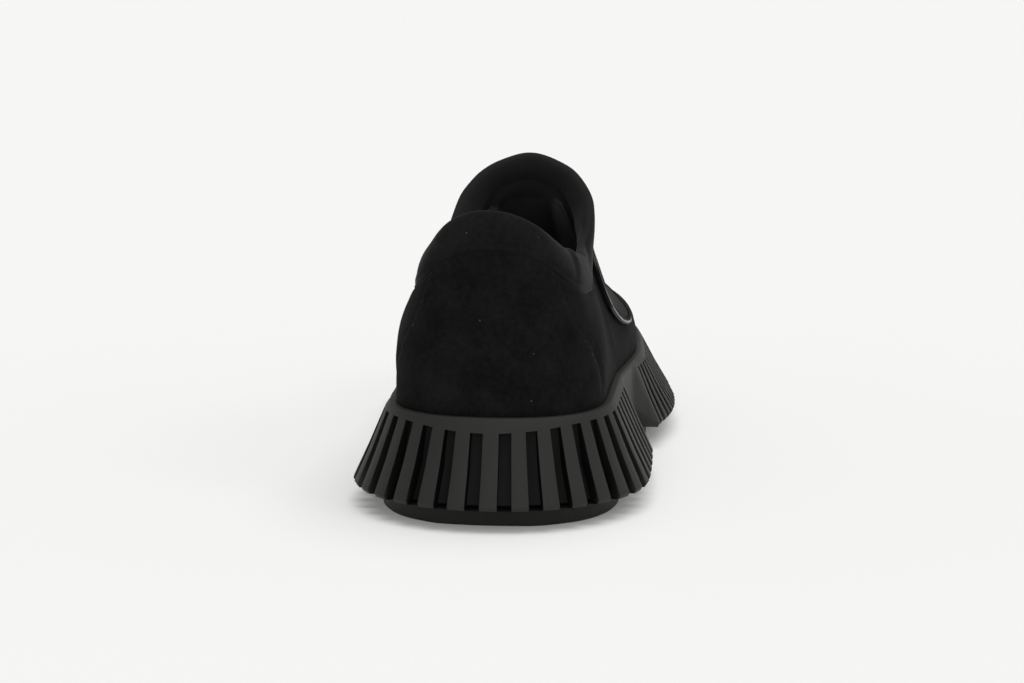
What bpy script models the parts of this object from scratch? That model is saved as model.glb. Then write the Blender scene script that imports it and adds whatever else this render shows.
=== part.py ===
"""Suede loafer for the right foot: a hollow upper with a padded collar and a saddle strap, on a unit sole
with flared, ribbed heel and forefoot blocks, two tread pads and an insole.

The tables are in millimetres and become metres when a mesh is made. In the last's own frame x points to the
outer side of the foot, y runs from the back of the heel to the toe and z is height above the floor. A station
is a distance along the shoe that is unrolled round the heel and the toe, so it also counts round both ends.
An empty carries all parts and puts the origin under the middle of the shoe.
"""

import math
from bisect import bisect_right
from collections import namedtuple

import bmesh
import bpy
from mathutils import Vector

MM = 0.001
GAP = 0.3
PROBE = 0.5
SHARE_PROBE = 0.005
OUTER = 1
INNER = -1

# Plan of the upper where it meets the sole
UPPER_LENGTH = 254.0
HEEL_CENTRE = 36.0
HEEL_ARC = 56.0
HEEL_SQUARENESS = 2.4
TOE_CENTRE = 204.0
TOE_ARC = 66.0
TOE_SQUARENESS = 2.15
HEEL_BACK = HEEL_CENTRE - HEEL_ARC
TOE_FRONT = TOE_CENTRE + TOE_ARC

# Upper wall
WALL = 2.4
SWELL_HEIGHT = 12.0
WALL_ROWS = 10
RIDGE_TURN = 90.0
VAMP_STEP = 6.0
TOE_COLUMNS = 7

# Collar band
COLLAR_STEP = 6.2

# Sole unit
RECESS = 3.0
LIP = 2.8
LIP_ROUND = 0.7
BAND_SLOPE = 0.46
MID_DROP = 0.55
MID_FLARE = 0.57
FOOT_ROUND = 1.2
FOOT_TUCK = 0.7
GROOVE_DEPTH = 4.2
GROOVE_SHARE = 0.46
HEEL_BLOCK_END = 82.5
HEEL_GROOVES = 12
RIB_SHIFT = 1.0
FOOT_PROBES = 120
FOREFOOT_BLOCK_START = 129.0
FOREFOOT_GROOVES = 22
WAIST_FADE = 9.0
WAIST_POINTS = 13
WAIST_BASE = 15.0
WAIST_FLARE = 1.0

# Tread pads
PAD_SPREAD = 4.8
PAD_BEVEL = 0.8
PAD_END_ROUND = 12.0
HEEL_PAD_END = 75.5
FOREFOOT_PAD_START = 136.0
PAD_STEP = 8.0

# Strap and insole
STRAP_THICKNESS = 1.6
STRAP_GAP = 0.6
STRAP_LEVELS = 16
STRAP_COLUMNS = 10
STRAP_TIP_EASE = 1.7
INSOLE_THICKNESS = 4.0
INSOLE_STEP = 9.0

# Sections of the last: half widths to the outer and inner side of the spine at the sole, the height of the
# ridge, the exponent that makes the section rounder or squarer, and how far the side swells over the sole.
# Behind the throat the ridge is where the cut-off top would close.
Section = namedtuple("Section", "station spine outer inner ridge crown swell")
LAST = (
    Section(-20.0, 0.5, 35.0, 35.0, 125.0, 3.0, 0.4),
    Section(0.0, 0.5, 35.0, 35.0, 108.0, 3.4, 0.4),
    Section(20.0, 0.5, 35.0, 35.0, 91.5, 3.6, 0.4),
    Section(36.0, 0.5, 35.0, 35.0, 85.5, 3.7, 0.4),
    Section(61.0, 0.5, 34.8, 34.2, 98.0, 1.9, 0.4),
    Section(80.0, 0.8, 34.4, 33.3, 109.0, 1.27, 0.4),
    Section(94.0, 1.5, 33.7, 33.3, 112.0, 0.98, 0.5),
    Section(105.0, 2.2, 33.6, 34.2, 111.0, 0.99, 0.6),
    Section(112.0, 2.4, 33.8, 35.2, 100.6, 1.08, 0.7),
    Section(120.0, 1.8, 34.9, 35.8, 85.5, 1.3, 0.8),
    Section(135.0, 1.0, 36.5, 38.5, 73.5, 1.6, 1.0),
    Section(150.0, 0.0, 38.6, 40.3, 68.5, 1.75, 1.2),
    Section(165.0, -1.0, 39.6, 41.6, 64.0, 1.85, 1.4),
    Section(185.0, -2.5, 39.9, 41.5, 60.2, 1.95, 1.9),
    Section(204.0, -3.5, 39.2, 39.8, 57.4, 2.1, 1.9),
    Section(237.0, -4.5, 36.5, 36.0, 54.4, 2.25, 1.8),
    Section(270.0, -5.0, 32.0, 31.0, 52.8, 2.35, 1.6),
)

# Collar, from the back of the heel to the tip of the throat: the top line's plan and height, and the last's
# station and the height of the seam where the band is sewn to the upper.
Collar = namedtuple("Collar", "station y centre half height seam seam_height")
COLLAR = (
    Collar(0.0, 6.5, -1.0, 0.0, 101.3, -20.0, 89.3),
    Collar(12.0, 8.0, -0.6, 11.2, 98.8, -8.0, 87.4),
    Collar(24.0, 14.5, 0.2, 18.8, 92.0, 4.0, 81.2),
    Collar(38.0, 27.0, 0.6, 23.4, 86.0, 19.0, 74.8),
    Collar(56.0, 44.0, 0.6, 24.8, 83.0, 40.0, 71.6),
    Collar(74.0, 61.5, 0.6, 25.2, 82.4, 61.0, 70.8),
    Collar(90.0, 76.0, 0.9, 25.4, 85.0, 79.0, 73.2),
    Collar(104.0, 87.0, 2.6, 25.2, 92.8, 93.5, 80.0),
    Collar(116.0, 95.0, 2.9, 21.4, 101.8, 102.8, 89.2),
    Collar(126.0, 101.2, 3.1, 13.4, 108.8, 108.8, 97.2),
    Collar(136.0, 105.0, 3.1, 0.0, 113.2, 112.0, 100.6),
)

# The sole's side: height of the rim, how far the wall flares out below it, the height of the plain band under
# the rim, and how deep the grooves are cut where they end below that band.
Side = namedtuple("Side", "station rim flare band cut")
SOLE_SIDE = (
    Side(-20.0, 35.0, 12.4, 4.6, 3.6),
    Side(-9.0, 35.0, 11.9, 3.8, 2.8),
    Side(-1.0, 35.0, 11.1, 3.0, 2.0),
    Side(8.0, 35.0, 10.5, 2.4, 1.6),
    Side(20.0, 35.0, 10.9, 2.2, 1.5),
    Side(40.0, 35.0, 12.2, 2.2, 1.5),
    Side(91.0, 33.7, 11.0, 2.3, 1.5),
    Side(129.0, 32.3, 9.8, 2.4, 1.5),
    Side(150.0, 31.8, 11.5, 2.4, 1.5),
    Side(175.0, 31.2, 13.0, 2.4, 1.5),
    Side(200.0, 31.9, 12.6, 2.5, 1.5),
    Side(230.0, 35.0, 10.0, 2.8, 1.6),
    Side(270.0, 40.0, 8.5, 3.2, 1.8),
)

# The underside at a distance from the back of the heel: the foot of the sole's wall, and the tread pads'
# underside, which lies flat on the floor and turns up at the toe.
Under = namedtuple("Under", "station base tread")
UNDERSIDE = (
    Under(-20.0, 7.2, 0.0),
    Under(60.0, 7.2, 0.0),
    Under(150.0, 7.6, 0.0),
    Under(184.0, 7.8, 0.0),
    Under(186.0, 7.8, 0.0),
    Under(205.0, 8.9, 1.2),
    Under(235.0, 13.0, 5.8),
    Under(270.0, 19.5, 12.5),
)

# Saddle strap: its rear and front edge at stations that are degrees up the section, 90 being the ridge.
Strap = namedtuple("Strap", "station rear front")
STRAP = (
    Strap(23.0, 140.5, 144.0),
    Strap(23.6, 136.0, 146.6),
    Strap(25.0, 130.5, 149.0),
    Strap(28.0, 122.5, 150.6),
    Strap(31.5, 113.5, 150.8),
    Strap(35.0, 106.6, 150.2),
    Strap(38.5, 102.8, 149.2),
    Strap(42.5, 101.5, 148.0),
    Strap(47.5, 102.2, 146.7),
    Strap(54.0, 106.4, 145.4),
    Strap(65.0, 111.4, 144.0),
    Strap(75.0, 114.4, 143.3),
    Strap(90.0, 117.0, 143.0),
)

# Section of the padded collar: the share of the way from the seam to the top line, a clearance above that,
# and how far out it lies from the line between the two.
Pad = namedtuple("Pad", "up clear out")
COLLAR_SECTION = (
    Pad(0.0, 0.4, 0.0),
    Pad(0.2, 0.0, 1.1),
    Pad(0.5, 0.0, 1.6),
    Pad(0.8, 0.0, 1.2),
    Pad(0.96, 0.0, 0.1),
    Pad(1.0, 0.0, -1.3),
    Pad(0.95, 0.0, -2.8),
    Pad(0.78, 0.0, -3.8),
    Pad(0.5, 0.0, -4.1),
    Pad(0.22, 0.0, -3.5),
    Pad(0.0, 1.1, -2.4),
)


def smooth(table, column, station):
    """A column of a table at a station, on a cubic curve through its rows."""
    stations = [row.station for row in table]
    values = [getattr(row, column) for row in table]
    last = len(table) - 1
    i = min(max(bisect_right(stations, station) - 1, 0), last - 1)

    def slope(k):
        low = max(k - 1, 0)
        high = min(k + 1, last)
        return (values[high] - values[low]) / (stations[high] - stations[low])

    span = stations[i + 1] - stations[i]
    t = min(max((station - stations[i]) / span, 0.0), 1.0)
    start = values[i] + t * slope(i) * span
    end = values[i + 1] + (t - 1.0) * slope(i + 1) * span
    ease = t * t * (3.0 - 2.0 * t)
    return start * (1.0 - ease) + end * ease


def spread(start, end, step):
    """Evenly spaced values from start to end, about a step apart."""
    count = max(round((end - start) / step), 1)
    return [start + (end - start) * i / count for i in range(count + 1)]


def feather(side, station):
    """Plan point of the upper's lower edge on one side."""
    half = smooth(LAST, "outer" if side == OUTER else "inner", station)
    y = station
    if station < HEEL_CENTRE:
        turn = max(station - HEEL_BACK, 0.0) / HEEL_ARC * math.pi / 2
        y = HEEL_CENTRE * (1.0 - math.cos(turn) ** (2.0 / HEEL_SQUARENESS))
        half *= math.sin(turn) ** (2.0 / HEEL_SQUARENESS)
    if station > TOE_CENTRE:
        turn = min(station - TOE_CENTRE, TOE_ARC) / TOE_ARC * math.pi / 2
        y = TOE_CENTRE + (UPPER_LENGTH - TOE_CENTRE) * math.sin(turn) ** (2.0 / TOE_SQUARENESS)
        half *= max(math.cos(turn), 0.0) ** (2.0 / TOE_SQUARENESS)
    return Vector((smooth(LAST, "spine", station) + side * half, y))


def wall_point(side, station, up):
    """Point of the upper's outer surface, up being the share of the way from the rim to the ridge."""
    foot = feather(side, station)
    centre = min(max(station, HEEL_CENTRE), TOE_CENTRE)
    spine = Vector((smooth(LAST, "spine", centre), centre))
    rim = smooth(SOLE_SIDE, "rim", station)
    crest = min(station, TOE_CENTRE)
    rise = smooth(LAST, "ridge", crest) - rim
    reach = math.sqrt(max(1.0 - up ** smooth(LAST, "crown", crest), 0.0))
    climb = up * rise / SWELL_HEIGHT
    swell = smooth(LAST, "swell", station) * climb * math.exp(1.0 - climb)
    run = foot - spine
    point = spine + run * reach
    if run.length > 0.0:
        point += run.normalized() * swell * reach
    z = rim + up * rise
    if station > TOE_CENTRE:
        slope = smooth(LAST, "ridge", TOE_CENTRE + 1.0) - smooth(LAST, "ridge", TOE_CENTRE)
        z += slope * (point.y - TOE_CENTRE) * (1.0 - reach * reach)
    return Vector((point.x, point.y, z))


def wall_normal(side, station, up):
    """Unit normal of the upper's surface, pointing out."""
    low = min(up, 1.0 - SHARE_PROBE)
    along = wall_point(side, station + PROBE, low) - wall_point(side, station - PROBE, low)
    climb = wall_point(side, station, low + SHARE_PROBE) - wall_point(side, station, low - SHARE_PROBE)
    return along.cross(climb).normalized() * side


def share_up(station, z):
    """Height z as a share of the way from the rim to the ridge."""
    rim = smooth(SOLE_SIDE, "rim", station)
    return min((z - rim) / (smooth(LAST, "ridge", station) - rim), 1.0)


def share_at(station, turn):
    """Share of the way up at a turn round the section, from 0 at the rim to 90 degrees at the ridge."""
    return math.sin(math.radians(turn)) ** (2.0 / smooth(LAST, "crown", min(station, TOE_CENTRE)))


def turn_at(station, up):
    """Turn round the section at a share of the way up."""
    return math.degrees(math.asin(up ** (smooth(LAST, "crown", min(station, TOE_CENTRE)) / 2.0)))


def band_line(side, station):
    """Seam and top line of the collar band at a station of the collar, as points."""
    last_station = smooth(COLLAR, "seam", station)
    seam = wall_point(side, last_station, share_up(last_station, smooth(COLLAR, "seam_height", station)))
    x = smooth(COLLAR, "centre", station) + side * smooth(COLLAR, "half", station)
    return seam, Vector((x, smooth(COLLAR, "y", station), smooth(COLLAR, "height", station)))


def outline(side):
    """The feather line of one side as arc length, plan point and outward normal, from heel to toe."""
    stations = spread(HEEL_BACK, TOE_FRONT, PROBE)
    points = [feather(side, station) for station in stations]
    length = 0.0
    line = []
    for i, point in enumerate(points):
        before = points[max(i - 1, 0)]
        after = points[min(i + 1, len(points) - 1)]
        length += (point - before).length
        run = after - before
        normal = Vector((run.y, -run.x)).normalized() * side
        if i == 0:
            normal = Vector((0.0, -1.0))
        if i == len(points) - 1:
            normal = Vector((0.0, 1.0))
        line.append((length, stations[i], point, normal))
    return line


def along(line, length):
    """Station, plan point and normal of an outline at an arc length."""
    i = min(max(bisect_right([row[0] for row in line], length), 1), len(line) - 1)
    before, after = line[i - 1], line[i]
    t = (length - before[0]) / (after[0] - before[0])
    station = before[1] + (after[1] - before[1]) * t
    return station, before[2].lerp(after[2], t), before[3].lerp(after[3], t).normalized()


def length_at(line, station):
    """Arc length of an outline at a station."""
    i = min(bisect_right([row[1] for row in line], station), len(line) - 1)
    return line[i][0]


def beside(side, station, distance):
    """Plan point a distance outside the feather line."""
    run = feather(side, min(station + PROBE, TOE_FRONT)) - feather(side, max(station - PROBE, HEEL_BACK))
    normal = Vector((run.y, -run.x)).normalized() * side
    if station <= HEEL_BACK:
        normal = Vector((0.0, -1.0))
    if station >= TOE_FRONT:
        normal = Vector((0.0, 1.0))
    return feather(side, station) + normal * distance


def add_ring(bm, points):
    """Vertices for a list of points in millimetres."""
    return [bm.verts.new(point * MM) for point in points]


def add_strip(bm, lower, upper, closed=True):
    """Faces between two rows of vertices, leaving out the ones that shrink to a line."""
    count = len(lower)
    for i in range(count if closed else count - 1):
        j = (i + 1) % count
        corners = []
        for vert in (lower[i], lower[j], upper[j], upper[i]):
            if vert not in corners:
                corners.append(vert)
        if len(corners) > 2:
            bm.faces.new(corners)


def add_rungs(bm, ring):
    """A cap across a ring, with rungs from the outer side to the inner side."""
    count = len(ring)
    for i in range(count // 2 - 1):
        bm.faces.new((ring[i], ring[i + 1], ring[count - 2 - i], ring[count - 1 - i]))


def paint(name, colour, roughness):
    """A plain material."""
    material = bpy.data.materials.new(name)
    material.use_nodes = True
    shader = material.node_tree.nodes["Principled BSDF"]
    shader.inputs["Base Color"].default_value = (*colour, 1.0)
    shader.inputs["Roughness"].default_value = roughness
    shader.inputs["Metallic"].default_value = 0.0
    return material


def make_part(name, bm, material, sharp_angle=35.0):
    """An object from a mesh, shaded smooth, in the shoe's collection and under its empty."""
    bmesh.ops.remove_doubles(bm, verts=bm.verts, dist=0.01 * MM)
    bmesh.ops.recalc_face_normals(bm, faces=bm.faces)
    mesh = bpy.data.meshes.new(name)
    bm.to_mesh(mesh)
    bm.free()
    mesh.shade_smooth()
    mesh.set_sharp_from_angle(angle=math.radians(sharp_angle))
    mesh.materials.append(material)
    part = bpy.data.objects.new(name, mesh)
    shoe.objects.link(part)
    part.parent = middle
    return part


def foot_lengths(line, end):
    """Distances along the wall's foot from the middle of the heel, each with its arc length on the outline."""
    rows = []
    distance = 0.0
    before = None
    for i in range(FOOT_PROBES + 1):
        length = end * i / FOOT_PROBES
        station, point, normal = along(line, length)
        foot = point + normal * (GAP + LIP + smooth(SOLE_SIDE, "flare", station))
        if before is not None:
            distance += (foot - before).length
        rows.append((distance, length))
        before = foot
    return rows


def outline_length(rows, distance):
    """Arc length on the outline at a distance along the wall's foot."""
    i = min(max(bisect_right([row[0] for row in rows], distance), 1), len(rows) - 1)
    (start, first), (end, last) = rows[i - 1], rows[i]
    return first + (last - first) * (distance - start) / (end - start)


def sole_stops(side, line):
    """Arc lengths along one side of the sole, as rib edges, groove floors and plain points of the waist.

    Each stop is an arc length, whether it is on a groove's floor, and how much of a block it is.
    """
    heel_end = length_at(line, HEEL_BLOCK_END)
    fore_start = length_at(line, FOREFOOT_BLOCK_START)
    toe = line[-1][0]
    rib_share = 1.0 - GROOVE_SHARE
    stops = []

    def groove(start, end):
        stops.extend([(start, False, 1.0), (start, True, 1.0), (end, True, 1.0), (end, False, 1.0)])

    foot = foot_lengths(line, heel_end)
    shift = side * RIB_SHIFT
    pitch = (foot[-1][0] - shift) / (HEEL_GROOVES + rib_share / 2)
    for i in range(HEEL_GROOVES):
        start = shift + (rib_share / 2 + i) * pitch
        groove(outline_length(foot, start), outline_length(foot, start + GROOVE_SHARE * pitch))
    for i in range(WAIST_POINTS):
        length = heel_end + (fore_start - heel_end) * i / (WAIST_POINTS - 1)
        inside = min(length - heel_end, fore_start - length) / WAIST_FADE
        t = min(inside, 1.0)
        stops.append((length, False, 1.0 - t * t * (3.0 - 2.0 * t)))
    pitch = (toe - fore_start) / (FOREFOOT_GROOVES + rib_share / 2)
    for i in range(FOREFOOT_GROOVES):
        start = fore_start + (rib_share + i) * pitch
        groove(start, start + GROOVE_SHARE * pitch)
    return stops


def sole_row(line, stops, level):
    """Points of one level of the sole's wall along one side.

    Levels run from 0 at the recess's floor over the lip and the rim band to 7 under the wall's foot.
    """
    points = []
    for length, on_floor, block in stops:
        station, point, normal = along(line, length)
        rim = smooth(SOLE_SIDE, "rim", station)
        flare = WAIST_FLARE + (smooth(SOLE_SIDE, "flare", station) - WAIST_FLARE) * block
        edge = GAP + LIP
        foot_y = point.y + normal.y * (edge + flare)
        base = WAIST_BASE + (smooth(UNDERSIDE, "base", foot_y) - WAIST_BASE) * block
        band = smooth(SOLE_SIDE, "band", station)
        band_foot = rim - band
        foot_top = base + FOOT_ROUND
        mid = band_foot + (foot_top - band_foot) * MID_DROP
        out, z = (
            (GAP, rim - RECESS),
            (GAP, rim),
            (edge - LIP_ROUND, rim),
            (edge, rim - LIP_ROUND),
            (edge + BAND_SLOPE * band * block, band_foot),
            (edge + flare * MID_FLARE, mid),
            (edge + flare, foot_top),
            (edge + flare - FOOT_TUCK, base),
        )[level]
        if on_floor and level > 4:
            out -= GROOVE_DEPTH
        plan = point + normal * out
        points.append(Vector((plan.x, plan.y, z)))
    return points


def make_sole():
    """The unit sole, with a recess for the upper, a smooth waist and grooves that are open at the foot."""
    bm = bmesh.new()
    sides = [(outline(side), sole_stops(side, outline(side))) for side in (OUTER, INNER)]

    def row(level):
        outer, inner = [sole_row(line, stops, level) for line, stops in sides]
        return outer + inner[::-1]

    on_floor = [stop[1] for stop in sides[0][1]]
    on_floor = on_floor + on_floor[::-1]
    rings = []
    for level in range(5):
        ring = []
        for point, floor in zip(row(level), on_floor):
            ring.append(None if floor else bm.verts.new(point * MM))
        for i, vert in enumerate(ring):
            if vert is None:
                ring[i] = ring[i - 1] if not on_floor[i - 1] else ring[i + 1]
        rings.append(ring)
    groove_top = list(rings[-1])
    for i, point in enumerate(groove_floor_top(sides)):
        if on_floor[i]:
            groove_top[i] = bm.verts.new(point * MM)
    rings.append(groove_top)
    for level in (5, 6, 7):
        rings.append(add_ring(bm, row(level)))
    for upper, lower in zip(rings, rings[1:]):
        add_strip(bm, lower, upper)
    seat = []
    for vert in rings[0]:
        if vert not in seat:
            seat.append(vert)
    add_rungs(bm, seat)
    add_rungs(bm, rings[-1])
    return make_part("sole_unit", bm, paint("moulded_rubber", (0.020, 0.020, 0.021), 0.55), 25.0)


def groove_floor_top(sides):
    """Where the groove floors end under the rim band."""
    halves = []
    for line, stops in sides:
        points = []
        for stop, point in zip(stops, sole_row(line, stops, 4)):
            station, _, normal = along(line, stop[0])
            points.append(point - Vector((normal.x, normal.y, 0.0)) * smooth(SOLE_SIDE, "cut", station))
        halves.append(points)
    return halves[0] + halves[1][::-1]


def make_slab(name, stations, end_round, spread_out, heights, material, bevel):
    """A flat piece that follows the shoe's outline, from rungs across it."""
    bm = bmesh.new()
    rings = []
    for height in heights:
        sides = []
        for side in (OUTER, INNER):
            points = []
            for station in stations:
                plan = beside(side, station, spread_out - end_round(station))
                points.append(Vector((plan.x, plan.y, height(station, plan.y))))
            sides.append(points)
        rings.append(add_ring(bm, sides[0] + sides[1][::-1]))
    add_strip(bm, rings[0], rings[1])
    for ring in rings:
        add_rungs(bm, ring)
    part = make_part(name, bm, material)
    if bevel > 0.0:
        rounding = part.modifiers.new("edge", "BEVEL")
        rounding.width = bevel * MM
        rounding.segments = 1
        rounding.limit_method = "ANGLE"
        rounding.angle_limit = math.radians(50.0)
    return part


def pad_floor(_, y):
    """Height of a tread pad's underside."""
    return smooth(UNDERSIDE, "tread", y)


def pad_top(_, y):
    """Height of a tread pad's top, just under the sole's wall foot."""
    return smooth(UNDERSIDE, "base", y) - GAP


def make_pads():
    """Tread pads under the heel block and the forefoot block, with a rounded end at the waist."""
    material = paint("tread_rubber", (0.012, 0.012, 0.012), 0.6)

    def heel_end(station):
        inside = max(1.0 - (HEEL_PAD_END - station) / PAD_END_ROUND, 0.0)
        return PAD_END_ROUND * (1.0 - math.sqrt(1.0 - inside * inside))

    def fore_end(station):
        inside = max(1.0 - (station - FOREFOOT_PAD_START) / PAD_END_ROUND, 0.0)
        return PAD_END_ROUND * (1.0 - math.sqrt(1.0 - inside * inside))

    end_steps = [PAD_END_ROUND * (1.0 - math.cos(math.radians(angle))) for angle in (0.0, 30.0, 60.0)]
    heel = spread(HEEL_BACK, HEEL_PAD_END - PAD_END_ROUND, PAD_STEP)
    heel += [HEEL_PAD_END - step for step in end_steps[::-1]]
    fore = [FOREFOOT_PAD_START + step for step in end_steps]
    fore += spread(FOREFOOT_PAD_START + PAD_END_ROUND, TOE_FRONT, PAD_STEP)
    heights = (pad_floor, pad_top)
    make_slab("outsole_heel", heel, heel_end, PAD_SPREAD, heights, material, PAD_BEVEL)
    make_slab("outsole_forefoot", fore, fore_end, PAD_SPREAD, heights, material, PAD_BEVEL)


def make_insole():
    """The footbed, inside the upper and on the sole's platform."""

    def under(station, y):
        return smooth(SOLE_SIDE, "rim", station) - RECESS + GAP

    def top(station, y):
        return under(station, y) + INSOLE_THICKNESS

    def plain(station):
        return 0.0

    stations = spread(HEEL_BACK, TOE_FRONT, INSOLE_STEP)
    material = paint("insole_leather", (0.015, 0.015, 0.015), 0.7)
    make_slab("insole", stations, plain, -WALL - 2 * GAP, (under, top), material, 0.0)


def make_upper():
    """The hollow upper: an open surface through the last's sections, thickened inwards."""
    bm = bmesh.new()
    columns = []
    for place in spread(0.0, COLLAR[-1].station, COLLAR_STEP):
        station = smooth(COLLAR, "seam", place)
        columns.append((station, share_up(station, smooth(COLLAR, "seam_height", place))))
    vamp = spread(COLLAR[-1].seam, TOE_CENTRE, VAMP_STEP)[1:]
    toe = spread(TOE_CENTRE, TOE_FRONT, TOE_ARC / TOE_COLUMNS)[1:]
    columns += [(station, 1.0) for station in vamp + toe]
    for side in (OUTER, INNER):
        rows = []
        for station, top in columns:
            foot = wall_point(side, station, 0.0)
            column = [foot - Vector((0.0, 0.0, RECESS - GAP))]
            limit = turn_at(station, top)
            for i in range(WALL_ROWS + 1):
                column.append(wall_point(side, station, share_at(station, limit * i / WALL_ROWS)))
            rows.append(add_ring(bm, column))
        for before, after in zip(rows, rows[1:]):
            pair = (before, after) if side == INNER else (after, before)
            add_strip(bm, pair[0], pair[1], closed=False)
    upper = make_part("upper", bm, paint("suede", (0.010, 0.010, 0.011), 0.95), 60.0)
    wall = upper.modifiers.new("wall", "SOLIDIFY")
    wall.thickness = WALL * MM
    wall.offset = -1.0
    wall.use_even_offset = True
    return upper


def make_collar():
    """The padded band round the top line, a closed ring that sits on the upper's top edge."""
    stations = spread(0.0, COLLAR[-1].station, COLLAR_STEP)
    ring = [band_line(OUTER, station) for station in stations[::-1]]
    ring += [band_line(INNER, station) for station in stations[1:-1]]
    bm = bmesh.new()
    loops = []
    count = len(ring)
    for i, (seam, top) in enumerate(ring):
        before, after = ring[i - 1], ring[(i + 1) % count]
        run = after[0] + after[1] - before[0] - before[1]
        rise = (top - seam).normalized()
        out = rise.cross(run).normalized()
        width = (top - seam).length
        points = [seam + rise * (pad.up * width + pad.clear) + out * pad.out for pad in COLLAR_SECTION]
        loops.append(add_ring(bm, points))
    for i, loop in enumerate(loops):
        add_strip(bm, loop, loops[(i + 1) % count])
    return make_part("collar", bm, paint("collar_suede", (0.011, 0.011, 0.012), 0.95), 60.0)


def make_strap():
    """The saddle strap over the instep, laid on the upper's own surface."""
    bm = bmesh.new()
    tip = STRAP[0].station
    shares = spread(0.0, 1.0, 1.0 / STRAP_LEVELS)
    levels = [tip + (RIDGE_TURN - tip) * share ** STRAP_TIP_EASE for share in shares]
    rows = []
    for side, order in ((OUTER, levels), (INNER, levels[-2::-1])):
        for turn in order:
            rear = smooth(STRAP, "rear", turn)
            front = smooth(STRAP, "front", turn)
            row = []
            for station in spread(rear, front, (front - rear) / STRAP_COLUMNS):
                up = share_at(station, turn)
                row.append(wall_point(side, station, up) + wall_normal(side, station, up) * STRAP_GAP)
            rows.append(add_ring(bm, row))
    for before, after in zip(rows, rows[1:]):
        add_strip(bm, before, after, closed=False)
    strap = make_part("saddle_strap", bm, paint("smooth_leather", (0.016, 0.016, 0.017), 0.35), 60.0)
    body = strap.modifiers.new("thickness", "SOLIDIFY")
    body.thickness = STRAP_THICKNESS * MM
    body.offset = 1.0
    body.use_even_offset = True
    return strap


for old in list(bpy.data.objects):
    bpy.data.objects.remove(old)

shoe = bpy.data.collections.new("suede_loafer")
bpy.context.scene.collection.children.link(shoe)
middle = bpy.data.objects.new("middle", None)
shoe.objects.link(middle)

sole = make_sole()
make_pads()
make_insole()
make_upper()
make_collar()
make_strap()

xs = [vert.co.x for vert in sole.data.vertices]
ys = [vert.co.y for vert in sole.data.vertices]
middle.location = (-(min(xs) + max(xs)) / 2, -(min(ys) + max(ys)) / 2, 0.0)
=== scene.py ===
import math

import bpy
import numpy as np
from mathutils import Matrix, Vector, noise
from mathutils.bvhtree import BVHTree


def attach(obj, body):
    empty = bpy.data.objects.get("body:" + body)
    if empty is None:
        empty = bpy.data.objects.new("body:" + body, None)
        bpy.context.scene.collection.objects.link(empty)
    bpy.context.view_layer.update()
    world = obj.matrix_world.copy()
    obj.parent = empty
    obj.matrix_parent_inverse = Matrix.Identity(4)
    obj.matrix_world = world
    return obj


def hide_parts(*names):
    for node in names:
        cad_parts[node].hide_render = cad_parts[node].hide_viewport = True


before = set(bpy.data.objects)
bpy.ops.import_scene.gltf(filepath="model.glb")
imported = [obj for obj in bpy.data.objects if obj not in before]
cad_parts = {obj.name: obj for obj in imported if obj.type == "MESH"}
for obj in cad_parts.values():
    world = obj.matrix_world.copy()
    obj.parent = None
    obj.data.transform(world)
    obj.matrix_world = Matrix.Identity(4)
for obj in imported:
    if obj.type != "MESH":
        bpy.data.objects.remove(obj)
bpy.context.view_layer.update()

# Camera
# A studio camera on a tripod behind the heel, a little above it and to the outer side of the foot, with a
# short telephoto lens. The toe points away from it.
MM = 0.001
CAMERA_PLACE = (85.9, -841.38, 173.6)
CAMERA_YAW = 6.0
CAMERA_PITCH = 8.98
CAMERA_LENS = 80.0
CAMERA_SENSOR = 36.0

bpy.ops.object.select_all(action="DESELECT")
bpy.ops.object.camera_add(
    location=Vector(CAMERA_PLACE) * MM,
    rotation=(math.radians(90.0 - CAMERA_PITCH), 0.0, math.radians(CAMERA_YAW)),
)
camera = bpy.context.object
camera.data.lens = CAMERA_LENS
camera.data.sensor_width = CAMERA_SENSOR
camera.data.dof.use_dof = False
bpy.context.scene.camera = camera

# Sole unit
# One moulding of black rubber: flared ribs round a heel block and a forefoot block, and a smooth waist.
# It comes matt from the mould and is cemented under the upper, which sits in its shallow recess.
MERGE_DISTANCE = 0.01
QUAD_ANGLE = 60.0
RIB_EDGE = 0.45
RIB_EDGE_STEPS = 2
RIB_EDGE_ANGLE = 28.0
RIB_SMOOTH_ANGLE = 40.0
RECESS_REACH = 7.0
RECESS_LOOKS = 10
RECESS_LIFT = 0.15
RUBBER_FACE = "#2d2d2b"
RUBBER_WIPED = "#272725"
# Colour of the painted shade in the rubber's recesses.
RUBBER_PAINTED_SHADE = "#040404"
RUBBER_SMUDGE = 22.0
RUBBER_GRIT = 0.5
RUBBER_GRIT_HEIGHT = 0.1


def select_only(piece):
    """Makes one object the only selected and the active one."""
    bpy.ops.object.select_all(action="DESELECT")
    piece.select_set(True)
    bpy.context.view_layer.objects.active = piece


def copy_of(node, name):
    """A piece that starts as a copy of a CAD node, its loose triangles merged and paired into quads."""
    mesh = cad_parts[node].data.copy()
    mesh.materials.clear()
    piece = bpy.data.objects.new(name, mesh)
    bpy.context.scene.collection.objects.link(piece)
    select_only(piece)
    bpy.ops.mesh.customdata_custom_splitnormals_clear()
    bpy.ops.object.mode_set(mode="EDIT")
    bpy.ops.mesh.select_all(action="SELECT")
    bpy.ops.mesh.remove_doubles(threshold=MERGE_DISTANCE * MM)
    bpy.ops.mesh.tris_convert_to_quads(face_threshold=math.radians(QUAD_ANGLE),
                                       shape_threshold=math.radians(QUAD_ANGLE))
    bpy.ops.object.mode_set(mode="OBJECT")
    return piece


def apply_modifier(piece, kind, **settings):
    """Adds a modifier with its settings and applies it."""
    select_only(piece)
    modifier = piece.modifiers.new(kind, kind)
    for name, value in settings.items():
        setattr(modifier, name, value)
    bpy.ops.object.modifier_apply(modifier=modifier.name)


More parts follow.
